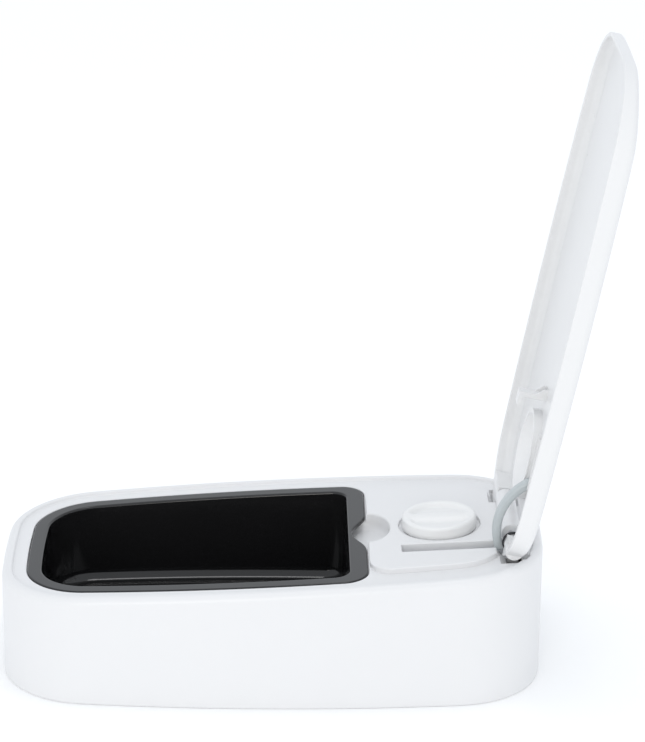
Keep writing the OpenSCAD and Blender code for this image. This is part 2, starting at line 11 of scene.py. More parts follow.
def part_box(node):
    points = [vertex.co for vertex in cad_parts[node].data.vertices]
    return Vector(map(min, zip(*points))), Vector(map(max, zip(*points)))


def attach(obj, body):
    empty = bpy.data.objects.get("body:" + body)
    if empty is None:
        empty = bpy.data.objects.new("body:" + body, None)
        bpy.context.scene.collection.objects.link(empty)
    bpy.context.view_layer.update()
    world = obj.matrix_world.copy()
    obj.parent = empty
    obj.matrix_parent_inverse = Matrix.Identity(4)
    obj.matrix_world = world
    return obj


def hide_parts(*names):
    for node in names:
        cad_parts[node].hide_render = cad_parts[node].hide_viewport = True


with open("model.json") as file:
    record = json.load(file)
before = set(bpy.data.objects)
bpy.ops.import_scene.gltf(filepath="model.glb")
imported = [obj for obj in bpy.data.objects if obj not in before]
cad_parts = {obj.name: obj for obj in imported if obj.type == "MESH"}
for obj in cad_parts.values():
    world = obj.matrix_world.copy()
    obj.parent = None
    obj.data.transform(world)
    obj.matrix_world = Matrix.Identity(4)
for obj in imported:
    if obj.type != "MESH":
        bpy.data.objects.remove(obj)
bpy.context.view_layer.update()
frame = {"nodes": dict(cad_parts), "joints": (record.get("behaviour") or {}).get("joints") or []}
MM = 0.001

# ---- dimensions ------------------------------------------------------------------------------

# _S is a place up the deck's slope and _T a height square to it, from the wall's top edge.
# An _INSET is measured inwards from the body's outline, and a _REAR or _FRONT along the slope.

housing_low, housing_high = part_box("housing")
joints = {j["name"]: j for j in frame["joints"]}

# Body
HALF_W = housing_high.x / MM
HALF_L = housing_high.y / MM
SLOPE = math.atan2(-joints["dial_turn"]["axis"][1], joints["dial_turn"]["axis"][2])
OPEN = math.radians(joints["lid_hinge"]["range_deg"][1])
MID_H = 55.05
CORNER_R = 40
SIDE_BOW = 8.5
END_BOW = 3
WALL = 2.4

# Deck: the shoulder's foot, the underside of the skin and the raised platform
PLATFORM_T = 1
LEDGE_T = -1.5
SKIN_T = -3.7
SHOULDER_INSET = 4.6
SHOULDER_R = 3.2
PLATFORM_INSET = 17
PLATFORM_FRONT = 42.8
PLATFORM_CORNER = 10

# Bowl, its rim, its seat in the deck and the finger notch
RIM_INSET = 10.9
RIM_REAR = 41.9
RIM_CORNER = 11
RIM_TOP_T = -1.3
RIM_THICK = 1.9
SEAT_GAP = 0.4
HOLE_GAP = 0.5
SEAT_WIDER = 2.4
SEAT_THICK = 2
BOWL_INSET = 15.9
BOWL_REAR = 35.2
BOWL_CORNER = 7
BOWL_WALL = 1.5
BOWL_FLOOR = 12.5
NOTCH_HALF = 19
NOTCH_DEPTH = 6.2
FLOOR_FILLET = 5.5

# Finger scoop
SCOOP_HALF = 16
SCOOP_REAR = 52.7
SCOOP_FLOOR_T = -6.8
SCOOP_WALL = 1.3
SCOOP_FILLET = 3.4

# Hinge: pin, the housing's block, the lid's knuckles and ears, the wells and the spring.
# ARM_CHEEK is the side of the block that holds the arm's pin: its inner x, front and rear.
HINGE_S = 106
HINGE_T = 3.4
PIN_R = 1.5
RUNNING = 0.05
BLOCK_HALF = 20.6
BLOCK_FRONT = 100
BLOCK_REAR = 110.4
NECK_FOOT = (102.0, 110.0)
NECK_TOP = (102.6, 109.4)
ARM_CHEEK = (12.6, 97.6, 104.8)
ARM_CHEEK_DEPTH = 4
BLOCK_R = 4.4
KNUCKLE_IN = 28.4
KNUCKLE_R = 4
SPRING_KNUCKLE_R = 3.6
EAR_IN = 32
EAR_OUT = 41
FAR_EAR_IN = 21.8
PIN_END = 40
COIL_R = 4.4
COIL_L = 1.9
COIL_WIRE_R = 0.4
BARREL_R = 7.4
WELL_IN = 21.2
WELL_OUT = 41.4
WELL_R = 7.9

# Lid, as it lies when shut
LID_INSET = 5.7
LID_WALL = 2
LID_RIM_T = -0.2
LID_ROOF_T = 6.8
LID_TOP_T = 9
LID_NOTCH_R = 7.2
WINDOW_R = 18.5
RING_T = 3
RING_WALL = 2
CATCH_S = 47.2
CATCH_HALF = 3
CATCH_THICK = 2.4
HOOK_T = -5.6
HOOK_THICK = 1.6
GUIDE_GAP = 3.1
GUIDE_W = 0.9
GUIDE_FROM = 57
GUIDE_TO = 81
GUIDE_LOW_T = 3.8
NOSE_START = -78
NOSE_LENGTH = 40
NOSE_THINNER = 0.34

# Dial knob, its recess, the timer bay under it, the latch's channel and the arm's groove
DIAL_S = 75
KNOB_R = 16.6
KNOB_TOP_T = 5.5
KNOB_RIM_R = 1.3
POCKET_DEPTH = 1.9
POCKET_EDGE = 14.6
GRIP_HALF = 1
GRIP_FOOT = 6.4
RECESS_R = 18.4
RECESS_T = -0.6
SHAFT_R = 2.5
SHAFT_BORE_R = 2.56
KNOB_FOOT_T = -0.3
KNOB_HUB_R = 5
KNOB_SHELL_R = 14.6
KNOB_SHELL_T = 1.8
KNOB_SHAFT_T = 3
BAY_HALF = 18.6
BAY_FRONT = 54
BAY_REAR = 97.2
BAY_LOW_T = -5.4
BAY_ROOF_T = -2
LATCH_HALF = 4.3
LATCH_LOW_T = -3.95
GROOVE_IN = 21
GROOVE_OUT = 29
GROOVE_FRONT = 57.2
GROOVE_REAR = 106.5
GROOVE_FLOOR_T = -9
GROOVE_WALL = 1.6
CLEAR_T = 8

# Lift arm: an arc in the Y-Z plane, angles in degrees
ARM_X = 25
ARM_W = 5.2
ARM_THICK = 3.9
ARM_R = 24.9
ARM_CENTRE = (123.6, 68.4)
ARM_PIVOT = (101, 58)
ARM_FROM = 118
ARM_TO = 204
ARM_PIN_R = 1.4
HUB_R = 3.2
HUB_INSET = 0.2
ARM_NOSE_R = 1.9

# ---- plan of the body: three arcs a quarter, each tangent to the next ------------------------

side_r = (HALF_L**2 + SIDE_BOW**2) / (2 * SIDE_BOW)
end_half = HALF_W - SIDE_BOW
end_r = (end_half**2 + END_BOW**2) / (2 * END_BOW)
side_x = HALF_W - side_r
end_y = HALF_L - end_r
span = math.hypot(side_x, end_y)
reach_side = side_r - CORNER_R
reach_end = end_r - CORNER_R
foot = (reach_side**2 - reach_end**2 + span**2) / (2 * span)
rise = math.sqrt(reach_side**2 - foot**2)
along = (-side_x / span, end_y / span)
corner_c = (side_x + foot * along[0] - rise * along[1], foot * along[1] + rise * along[0])
SIDE_TO = math.degrees(math.atan2(corner_c[1], corner_c[0] - side_x))
END_FROM = math.degrees(math.atan2(corner_c[1] - end_y, corner_c[0]))


def arc(centre, r, start, stop, n, first=0):
    """Points on an arc, angles in degrees."""
    turns = [math.radians(start + (stop - start) * i / n) for i in range(first, n + 1)]
    return [(centre[0] + r * math.cos(a), centre[1] + r * math.sin(a)) for a in turns]


def mirrored(half):
    """The whole ring from its right half, whose first and last points are on the middle line."""
    return half + [(-x, y) for x, y in half[-2:0:-1]]


def front_half(inset):
    """From the side's widest part round the bowl end's corner to the middle line."""
    return arc((corner_c[0], -corner_c[1]), CORNER_R - inset, -SIDE_TO, -END_FROM, 24, 1) + arc(
        (0, -end_y), end_r - inset, -END_FROM, -90, 8, 1
    )


def outline(inset):
    """The body's plan, moved in by inset."""
    front = arc((side_x, 0), side_r - inset, 0, -SIDE_TO, 12) + front_half(inset)
    rear = [(x, -y) for x, y in front]
    return mirrored(rear[:0:-1] + front)


def bay(inset, rear, corner, dip=0):
    """The body's plan at one inset, ending square at the rear with round corners.
    dip is the depth of the finger wave in its rear edge."""
    side = side_r - inset
    cy = rear - corner
    cx = side_x + math.sqrt((side - corner) ** 2 - cy**2)
    turn = math.degrees(math.atan2(cy, cx - side_x))
    steps = 30
    half = []
    for k in range(steps):
        x = cx * k / steps
        wave = (1 + math.cos(math.pi * x / NOTCH_HALF)) / 2 if x < NOTCH_HALF else 0
        half.append((x, rear - dip * wave))
    half += arc((cx, cy), corner, 90, turn, 14)
    half += arc((side_x, 0), side, turn, -SIDE_TO, 20, 1) + front_half(inset)
    return mirrored(half)


def platform(inset, front, corner):
    """The raised deck's plan: a bay turned end for end."""
    return [(x, -y) for x, y in bay(inset, -front, corner)]


def scoop(grow):
    """Finger scoop: half an ellipse behind a straight mouth."""
    a = SCOOP_HALF + grow
    b = SCOOP_REAR - RIM_REAR + grow
    turns = [math.pi * i / 40 for i in range(41)]
    half = [(a * math.cos(w), RIM_REAR + b * math.sin(w)) for w in turns]
    return half + [(-a, BOWL_REAR - 3), (a, BOWL_REAR - 3)]


def circle(x, y, r, n=96):
    return arc((x, y), r, 0, 360 - 360 / n, n - 1)


def rounded(x0, y0, x1, y1, r, n=6):
    """A rectangle with round corners."""
    return (
        arc((x1 - r, y1 - r), r, 0, 90, n)
        + arc((x0 + r, y1 - r), r, 90, 180, n)
        + arc((x0 + r, y0 + r), r, 180, 270, n)
        + arc((x1 - r, y0 + r), r, 270, 360, n)
    )


# ---- placing ---------------------------------------------------------------------------------


def deck(x, s, t):
    """Deck coordinates to the frame: s runs up the slope and t is square to it."""
    return (
        x,
        s * math.cos(SLOPE) - t * math.sin(SLOPE),
        MID_H + s * math.sin(SLOPE) + t * math.cos(SLOPE),
    )


def deck_z(y, t):
    """Height over the table of the deck plane at t, above the point y."""
    return MID_H + y * math.tan(SLOPE) + t / math.cos(SLOPE)


def on_deck(plan, t):
    return [deck(x, s, t) for x, s in plan]


def upright(plan, z):
    return [(x, y, z) for x, y in plan]


def up_to_deck(plan, t):
    return [(x, y, deck_z(y, t)) for x, y in plan]


def ease(value, start, stop):
    """Rises smoothly from 0 at start to 1 at stop."""
    k = max(0, min(1, (value - start) / (stop - start)))
    return k * k * (3 - 2 * k)


def quarter(r, n=6):
    """Steps round a quarter turn: (out, up) from (0, 0) to (r, r), leaving upward and ending level."""
    turns = [math.pi / 2 * i / n for i in range(n + 1)]
    return [(r * (1 - math.cos(a)), r * math.sin(a)) for a in turns]


hinge_point = Vector(deck(0, HINGE_S, HINGE_T)) * MM
OPENING = (
    Matrix.Translation(hinge_point)
    @ Matrix.Rotation(-OPEN, 4, "X")
    @ Matrix.Translation(-hinge_point)
)

# ---- mesh helpers ----------------------------------------------------------------------------


def mesh_piece(name, points, faces):
    mesh = bpy.data.meshes.new(name)
    mesh.from_pydata([Vector(p) * MM for p in points], [], faces)
    piece = bpy.data.objects.new(name, mesh)
    bpy.context.scene.collection.objects.link(piece)
    work = bmesh.new()
    work.from_mesh(mesh)
    bmesh.ops.recalc_face_normals(work, faces=work.faces)
    work.to_mesh(mesh)
    work.free()
    return piece


def loft(name, rings, ends=True):
    """A skin over rings of equal length. With ends the first and last rings are closed,
    and without them the last ring joins the first."""
    n = len(rings[0])
    points = [p for ring in rings for p in ring]
    count = len(rings) - 1 if ends else len(rings)
    faces = []
    for i in range(count):
        a = i * n
        b = (i + 1) % len(rings) * n
        faces += [(a + k, a + (k + 1) % n, b + (k + 1) % n, b + k) for k in range(n)]
    if ends:
        faces += [tuple(range(n))[::-1], tuple(range(a := (len(rings) - 1) * n, a + n))]
    return mesh_piece(name, points, faces)


def prism(plan, low, high):
    return loft("tool", [on_deck(plan, low), on_deck(plan, high)])


def box(x0, s0, t0, x1, s1, t1):
    return prism([(x0, s0), (x1, s0), (x1, s1), (x0, s1)], t0, t1)


def rod(x0, x1, r, s, t, edge=0.0, place=deck, n=64):
    """A rod along X with its ends' edges rounded."""
    turns = [2 * math.pi * k / n for k in range(n)]
    if edge:
        steps = quarter(edge, 4)
        left = [(x0 + o, r - edge + u) for o, u in steps]
        right = [(x1 - o, r - edge + u) for o, u in reversed(steps)]
        profile = left + right
    else:
        profile = [(x0, r), (x1, r)]
    rings = [
        [place(x, s + q * math.cos(a), t + q * math.sin(a)) for a in turns] for x, q in profile
    ]
    return loft("tool", rings)


def world_place(x, y, z):
    return (x, y, z)


def both_sides(make):
    """A tool and its mirror image."""
    made = []
    for side in (1, -1):
        piece = make()
        if side < 0:
            piece.data.transform(Matrix.Scale(-1, 4, (1, 0, 0)))
            piece.data.flip_normals()
        made.append(piece)
    return made


def settle(piece):
    """Applies the modifiers, so that the mesh is what is seen."""
    bpy.context.view_layer.update()
    held = piece.evaluated_get(bpy.context.evaluated_depsgraph_get())
    mesh = bpy.data.meshes.new_from_object(held)
    piece.modifiers.clear()
    old = piece.data
    piece.data = mesh
    bpy.data.meshes.remove(old)


def shape(piece, add=(), cut=()):
    """Joins solids to a piece, then cuts others away."""
    tools = [(t, "UNION") for t in add] + [(t, "DIFFERENCE") for t in cut]
    for tool, how in tools:
        step = piece.modifiers.new("shape", "BOOLEAN")
        step.object = tool
        step.operation = how
        step.solver = "MANIFOLD"
    settle(piece)
    for tool, _how in tools:
        bpy.data.objects.remove(tool)
    return piece


def keep_inside(piece, limit):
    """Cuts away what lies outside another solid, which is then removed."""
    step = piece.modifiers.new("keep", "BOOLEAN")
    step.object = limit
    step.operation = "INTERSECT"
    step.solver = "MANIFOLD"
    settle(piece)
    bpy.data.objects.remove(limit)


def finish_mesh(piece, angle=32, weigh=True):
    """Welds slivers, shades the round parts smooth and keeps the flat parts flat."""
    work = bmesh.new()
    work.from_mesh(piece.data)
    bmesh.ops.remove_doubles(work, verts=work.verts, dist=2e-6)
    bmesh.ops.dissolve_degenerate(work, edges=work.edges, dist=2e-6)
    for face in work.faces:
        face.smooth = True
    work.to_mesh(piece.data)
    work.free()
    piece.data.set_sharp_from_angle(angle=math.radians(angle))
    if weigh:
        weights = piece.modifiers.new("weights", "WEIGHTED_NORMAL")
        weights.keep_sharp = True
        settle(piece)
    return piece


def place(piece, name, material, body, slot, *nodes):
    piece.name = name
    piece.data.name = name
    piece.data.materials.clear()
    piece.data.materials.append(material)
    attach(piece, body)
    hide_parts(*nodes)


# ---- materials -------------------------------------------------------------------------------


def node(tree, kind, **values):
    made = tree.nodes.new(kind)
    for key, value in values.items():
        if key in made.inputs:
            made.inputs[key].default_value = value
        else:
            setattr(made, key, value)
    return made


def surface(
    name, colour, rough, vary=0.03, swing=0.06, grain=2200, bump=0.06, cloud=30, metal=0.0, ior=1.5,
    coat=0.0,
):
    """A moulded or worked surface: colour drifts by vary over cloud-sized patches, roughness
    swings by swing, and a grain of fine bumps lies over both. Scales are patches a metre."""
    made = bpy.data.materials.new(name)
    made.use_nodes = True
    tree = made.node_tree
    shader = tree.nodes["Principled BSDF"]
    shader.inputs["Metallic"].default_value = metal
    shader.inputs["IOR"].default_value = ior
    shader.inputs["Coat Weight"].default_value = coat
    where = node(tree, "ShaderNodeTexCoord").outputs["Object"]
    patches = node(tree, "ShaderNodeTexNoise", Scale=cloud, Detail=3.0, Roughness=0.55)
    tree.links.new(where, patches.inputs["Vector"])
    tint = node(tree, "ShaderNodeMix", data_type="RGBA")
    tint.inputs["A"].default_value = (*[c * (1 - vary) for c in colour], 1)
    tint.inputs["B"].default_value = (*[min(1, c * (1 + vary)) for c in colour], 1)
    tree.links.new(patches.outputs["Fac"], tint.inputs["Factor"])
    tree.links.new(tint.outputs["Result"], shader.inputs["Base Color"])
    smears = node(tree, "ShaderNodeTexNoise", Scale=cloud * 4, Detail=4.0, Roughness=0.6)
    tree.links.new(where, smears.inputs["Vector"])
    spread = node(tree, "ShaderNodeMapRange")
    spread.inputs["To Min"].default_value = max(0.02, rough - swing)
    spread.inputs["To Max"].default_value = rough + swing
    tree.links.new(smears.outputs["Fac"], spread.inputs["Value"])
    tree.links.new(spread.outputs["Result"], shader.inputs["Roughness"])
    grains = node(tree, "ShaderNodeTexNoise", Scale=grain, Detail=2.0, Roughness=0.5)
    tree.links.new(where, grains.inputs["Vector"])
    relief = node(tree, "ShaderNodeBump", Strength=bump, Distance=0.0002)
    tree.links.new(grains.outputs["Fac"], relief.inputs["Height"])
    tree.links.new(relief.outputs["Normal"], shader.inputs["Normal"])
    return made


white = surface("white_shell", (0.775, 0.775, 0.78), 0.36, vary=0.008, bump=0.05)
lid_white = surface("white_lid", (0.785, 0.785, 0.785), 0.3, vary=0.008, bump=0.03)
base_white = surface("white_base", (0.66, 0.66, 0.665), 0.46, vary=0.015, bump=0.12)
gloss_black = surface("gloss_black", (0.010, 0.010, 0.0105), 0.1, swing=0.05, vary=0.1, bump=0.01)
arm_grey = surface("arm_grey", (0.50, 0.54, 0.55), 0.34, vary=0.03)
knob_white = surface(
    "knob_white", (0.83, 0.83, 0.825), 0.34, vary=0.006, swing=0.03, grain=900, bump=0.004
)
rubber = surface("dark_rubber", (0.025, 0.025, 0.027), 0.75, vary=0.15, bump=0.25, grain=1500)
steel = surface("bright_steel", (0.62, 0.63, 0.65), 0.3, swing=0.1, metal=1.0, bump=0.05)
spring_steel = surface("spring_steel", (0.035, 0.035, 0.038), 0.38, metal=0.6, bump=0.05)
contact = surface("nickel", (0.68, 0.66, 0.60), 0.25, metal=1.0, bump=0.03)
acetal = surface("acetal", (0.72, 0.72, 0.66), 0.42, vary=0.02)
case_grey = surface("timer_grey", (0.06, 0.063, 0.07), 0.5, vary=0.08, bump=0.15)
cell_wrap = surface("cell_wrap", (0.05, 0.055, 0.075), 0.3, metal=0.3, vary=0.1)
board_green = surface("board_green", (0.02, 0.14, 0.06), 0.35, vary=0.2, cloud=300, bump=0.1)
coil_copper = surface("coil_copper", (0.62, 0.27, 0.12), 0.35, metal=1.0, vary=0.1, cloud=200)
red_vinyl = surface("red_vinyl", (0.48, 0.02, 0.02), 0.4, vary=0.08)
black_vinyl = surface("black_vinyl", (0.015, 0.015, 0.016), 0.4, vary=0.1)


# ---- housing ---------------------------------------------------------------------------------


def housing_solid():
    foot_edge = [(0.9, 0), (0.65, 0.05), (0.25, 0.3), (0, 0.9)]
    rings = [upright(outline(inset), z) for inset, z in foot_edge]
    for out, up in quarter(SHOULDER_R, 10):
        rings.append(up_to_deck(outline(out), up - SHOULDER_R))
    crest_r = 0.8
    for out, up in reversed(quarter(crest_r, 4)):
        rings.append(up_to_deck(outline(SHOULDER_INSET - out), up - crest_r))
    root_r = 0.7
    for i in range(5):
        a = math.pi / 2 * i / 4
        inset = SHOULDER_INSET + root_r * (1 - math.cos(a))
        rings.append(up_to_deck(outline(inset), LEDGE_T + root_r * (1 - math.sin(a))))
    return loft("housing", rings)


def flared(plan_at, floor_t, edge, top_t, lip, floor_r=0.0):
    """A cutter whose mouth opens out round a quarter turn at top_t, which leaves a round edge.
    plan_at(grow) is its plan. floor_r rounds the foot of its wall."""
    rings = []
    if floor_r:
        for i in range(7):
            a = math.pi / 2 * i / 6
            grow = -floor_r * (1 - math.sin(a))
            rings.append(on_deck(plan_at(grow), floor_t + floor_r * (1 - math.cos(a))))
    else:
        rings.append(on_deck(plan_at(0), floor_t))
    for i in range(6):
        a = math.pi / 2 * i / 5
        rings.append(on_deck(plan_at(edge * (1 - math.cos(a))), top_t - edge * (1 - math.sin(a))))
    rings.append(on_deck(plan_at(edge), top_t + lip))
    return loft("tool", rings)


def raised_deck():
    edge = 0.7
    rings = [on_deck(platform(PLATFORM_INSET, PLATFORM_FRONT, PLATFORM_CORNER), SKIN_T)]
    for out, up in quarter(edge, 5):
        plan = platform(PLATFORM_INSET + out, PLATFORM_FRONT + out, PLATFORM_CORNER - out)
        rings.append(on_deck(plan, PLATFORM_T - edge + up))
    return loft("tool", rings)


def housing_additions():
    """What stands on the hollow shell: raised deck, seats, pockets and the hinge block."""
    over = SKIN_T + 1
    seat = bay(RIM_INSET - SEAT_WIDER, RIM_REAR + SEAT_WIDER, RIM_CORNER + 2)
    groove = (GROOVE_IN, GROOVE_FRONT, GROOVE_OUT, GROOVE_REAR)
    x0, s0, x1, s1 = [c + side * GROOVE_WALL for c, side in zip(groove, (-1, -1, 1, 1))]
    cheek_x, cheek_front, cheek_rear = ARM_CHEEK
    neck = [
        (NECK_FOOT[0], LEDGE_T), (NECK_TOP[0], HINGE_T), (NECK_TOP[1], HINGE_T), (NECK_FOOT[1], LEDGE_T)
    ]
    neck_half = BLOCK_HALF - 0.3
    return [
        raised_deck(),
        prism(seat, RIM_TOP_T - RIM_THICK - SEAT_THICK, over),
        prism(scoop(SCOOP_WALL), SCOOP_FLOOR_T - SCOOP_WALL, over),
        box(x0, s0, GROOVE_FLOOR_T - GROOVE_WALL, x1, s1, over),
        box(-BLOCK_HALF, BLOCK_FRONT, SKIN_T - 1.2, BLOCK_HALF, BLOCK_REAR, LEDGE_T + 0.5),
        box(cheek_x, cheek_front, SKIN_T - ARM_CHEEK_DEPTH, BLOCK_HALF, cheek_rear, LEDGE_T + 0.3),
        loft("tool", [[deck(x, s, t) for s, t in neck] for x in (-neck_half, neck_half)]),
        rod(-BLOCK_HALF, BLOCK_HALF, BLOCK_R, HINGE_S, HINGE_T, edge=0.5),
    ]


def housing():
    piece = housing_solid()
    hollow = [
        upright(outline(WALL), -1),
        up_to_deck(outline(WALL), SKIN_T - 1),
        up_to_deck(outline(WALL + 1), SKIN_T),
    ]
    shape(piece, cut=[loft("tool", hollow)])
    shape(piece, add=housing_additions())
    hole = bay(BOWL_INSET - HOLE_GAP, BOWL_REAR + HOLE_GAP, BOWL_CORNER + HOLE_GAP)

    def rim_seat(grow):
        wider = SEAT_GAP + grow
        return bay(RIM_INSET - wider, RIM_REAR + wider, RIM_CORNER + wider)

    def dial_recess(grow):
        return circle(0, DIAL_S, RECESS_R + grow)

    def groove(grow):
        return rounded(
            GROOVE_IN - grow, GROOVE_FRONT - grow, GROOVE_OUT + grow, GROOVE_REAR + grow, 1 + grow
        )

    cut = [
        loft("tool", [upright(hole, z) for z in (-2, 90)]),
        flared(rim_seat, RIM_TOP_T - RIM_THICK, 0.42, LEDGE_T, CLEAR_T),
        flared(scoop, SCOOP_FLOOR_T, 1.2, PLATFORM_T, CLEAR_T, floor_r=SCOOP_FILLET),
        flared(dial_recess, RECESS_T, 0.5, PLATFORM_T, CLEAR_T, floor_r=0.4),
        prism(circle(0, DIAL_S, SHAFT_BORE_R, 32), -12, 5),
        box(-BAY_HALF, BAY_FRONT, BAY_LOW_T, BAY_HALF, BAY_REAR, BAY_ROOF_T),
        box(-LATCH_HALF, SCOOP_REAR - 2, LATCH_LOW_T, LATCH_HALF, BAY_FRONT + 1, BAY_ROOF_T),
        flared(groove, GROOVE_FLOOR_T, 0.5, PLATFORM_T, CLEAR_T, floor_r=0.8),
        rod(-BLOCK_HALF - 1, BLOCK_HALF + 1, PIN_R, HINGE_S, HINGE_T),
    ]
    for well in both_sides(lambda: rod(WELL_IN, WELL_OUT, WELL_R, HINGE_S, HINGE_T, n=96)):
        keep_inside(well, loft("tool", [upright(outline(WALL + SEAT_GAP), z) for z in (0, 90)]))
        cut.append(well)
    shape(piece, cut=cut)
    finish_mesh(piece)
    place(piece, "housing_shell", white, "housing", "housing", "housing")


# ---- bowl ------------------------------------------------------------------------------------


def bowl():
    top = RIM_TOP_T
    under = RIM_TOP_T - RIM_THICK

    def body(inward, z):
        return upright(bay(BOWL_INSET + inward, BOWL_REAR - inward, BOWL_CORNER), z)

    rings = []
    low = BOWL_FLOOR - BOWL_WALL
    under_r = 5
    for a in range(0, 91, 15):
        w = math.radians(a)
        rings.append(body(under_r * (1 - math.sin(w)), low + under_r * (1 - math.cos(w))))
    rings.append(up_to_deck(bay(BOWL_INSET, BOWL_REAR, BOWL_CORNER), under))

    def rim(inward, t):
        return on_deck(bay(RIM_INSET + inward, RIM_REAR - inward, RIM_CORNER - inward, NOTCH_DEPTH), t)

    rings.append(rim(0.3, under))
    rings.append(rim(0, under + 0.3))
    edge = 0.75
    for out, up in quarter(edge, 6):
        rings.append(rim(out, top - edge + up))
    inner = BOWL_INSET + BOWL_WALL
    lip = 1.1
    for i in range(8):
        a = math.pi / 2 * i / 7
        grow = -lip * (1 - math.sin(a))
        plan = bay(inner + grow, BOWL_REAR - BOWL_WALL - grow, BOWL_CORNER - grow)
        rings.append(on_deck(plan, top - lip * (1 - math.cos(a))))
    draft = 0.5
    for i in range(9):
        a = math.pi / 2 * i / 8
        move = draft + FLOOR_FILLET * (1 - math.cos(a))
        plan = bay(inner + move, BOWL_REAR - BOWL_WALL - move, BOWL_CORNER + 0.5)
        rings.append(upright(plan, BOWL_FLOOR + FLOOR_FILLET * (1 - math.sin(a))))
    piece = loft("bowl", rings)
    finish_mesh(piece, 40)
    place(piece, "food_bowl", gloss_black, "bowl", "bowl", "bowl")


# ---- lid -------------------------------------------------------------------------------------


def thin_nose(piece):
    """Draws the lid's top down towards its front end, where it is thinner than at the hinge."""
    for corner in piece.data.vertices:
        y = corner.co.y / MM
        z = corner.co.z / MM - MID_H
        s = y * math.cos(SLOPE) + z * math.sin(SLOPE)
        t = -y * math.sin(SLOPE) + z * math.cos(SLOPE)
        share = NOSE_THINNER * ease(-s, -NOSE_START, NOSE_LENGTH - NOSE_START)
        corner.co = Vector(deck(corner.co.x / MM, s, LID_RIM_T + (t - LID_RIM_T) * (1 - share))) * MM


def lid_tray():
    """The lid without its hinge: a shell with a rounded rim, top and inside corner."""
    edge = 0.6
    lower = [math.radians(a) for a in range(0, 91, 15)]
    rings = []
    for w in lower:
        inset = LID_INSET + edge * (1 - math.sin(w))
        rings.append(on_deck(outline(inset), LID_RIM_T + edge * (1 - math.cos(w))))
    top_r = 3.4
    for out, up in quarter(top_r, 12):
        rings.append(on_deck(outline(LID_INSET + out), LID_TOP_T - top_r + up))
    tray = loft("lid", rings)
    inside = LID_INSET + LID_WALL
    rings = [on_deck(outline(inside - edge), LID_RIM_T - 1)]
    for w in lower:
        inset = inside - edge * (1 - math.sin(w))
        rings.append(on_deck(outline(inset), LID_RIM_T + edge * (1 - math.cos(w))))
    roof_r = 4
    for out, up in quarter(roof_r, 8):
        rings.append(on_deck(outline(inside + out), LID_ROOF_T - roof_r + up))
    return shape(tray, cut=[loft("tool", rings)])


def lid_fittings():
    """The dial window's collar, the catch with its two ribs, and the guides for the arm's tip."""
    into_roof = LID_ROOF_T + 0.5
    stem = rounded(
        -CATCH_HALF, CATCH_S - CATCH_THICK / 2, CATCH_HALF, CATCH_S + CATCH_THICK / 2, 0.5
    )
    made = [
        prism(circle(0, DIAL_S, WINDOW_R + RING_WALL), RING_T, into_roof),
        prism(stem, HOOK_T, into_roof),
        box(-CATCH_HALF, CATCH_S, HOOK_T, CATCH_HALF, SCOOP_REAR - 0.6, HOOK_T + HOOK_THICK),
    ]
    back = CATCH_S - 0.8
    front = CATCH_S - 4
    rib = [(back, 1.4), (back, into_roof), (front, into_roof), (front, 5)]
    for x0 in (-CATCH_HALF, CATCH_HALF - 1):
        made.append(loft("tool", [[deck(x, s, t) for s, t in rib] for x in (x0, x0 + 1)]))
    for x in (ARM_X - GUIDE_GAP - GUIDE_W, ARM_X + GUIDE_GAP):
        plan = rounded(x, GUIDE_FROM, x + GUIDE_W, GUIDE_TO, 0.4)
        made.append(prism(plan, GUIDE_LOW_T, into_roof))
    return made


def lid():
    outer = lid_tray()
    sides = [(-EAR_OUT, -FAR_EAR_IN), (EAR_IN, EAR_OUT)]
    ears = [box(x0, HINGE_S - 4, LID_RIM_T, x1, HINGE_S + 20, LID_TOP_T) for x0, x1 in sides]
    for ear in ears:
        blank = [(0, LID_RIM_T), (0, LID_TOP_T - 3), (3, LID_TOP_T)]
        keep_inside(ear, loft("tool", [on_deck(outline(LID_INSET + out), t) for out, t in blank]))
    knuckles = [rod(x0, x1, KNUCKLE_R, HINGE_S, HINGE_T, edge=0.4) for x0, x1 in sides]
    shape(outer, add=lid_fittings() + knuckles + ears)
    behind = box(-200, HINGE_S, -20, 200, 200, 40)
    shape(behind, cut=[rod(-201, 201, BARREL_R, HINGE_S, HINGE_T, n=128)])
    cut = [
        box(-FAR_EAR_IN, HINGE_S - LID_NOTCH_R, -3.2, EAR_IN, 200, LID_TOP_T + 1),
        behind,
        prism(circle(0, DIAL_S, WINDOW_R), -5, 20),
    ]
    shape(outer, cut=cut)
    shape(outer, add=[rod(KNUCKLE_IN, EAR_IN + 1, SPRING_KNUCKLE_R, HINGE_S, HINGE_T, edge=0.4)])
    bore_r = PIN_R + RUNNING
    shape(
        outer, cut=both_sides(lambda: rod(FAR_EAR_IN - 1, PIN_END + 0.2, bore_r, HINGE_S, HINGE_T))
    )
    thin_nose(outer)
    finish_mesh(outer)
    outer.data.transform(OPENING)
    place(outer, "lid_shell", lid_white, "lid", "lid", "lid")


# ---- dial knob -------------------------------------------------------------------------------


def knob_height(x, r):
    """The knob's top: a soft straight grip between two shallow pockets inside a round rim."""
    pocket = ease(abs(x), GRIP_HALF, GRIP_FOOT) * (1 - ease(r, POCKET_EDGE - 3, POCKET_EDGE))
    over = max(0, r - (KNOB_R - KNOB_RIM_R))
    drop = KNOB_RIM_R - math.sqrt(max(0, KNOB_RIM_R**2 - over**2))
    return KNOB_TOP_T - POCKET_DEPTH * pocket - drop


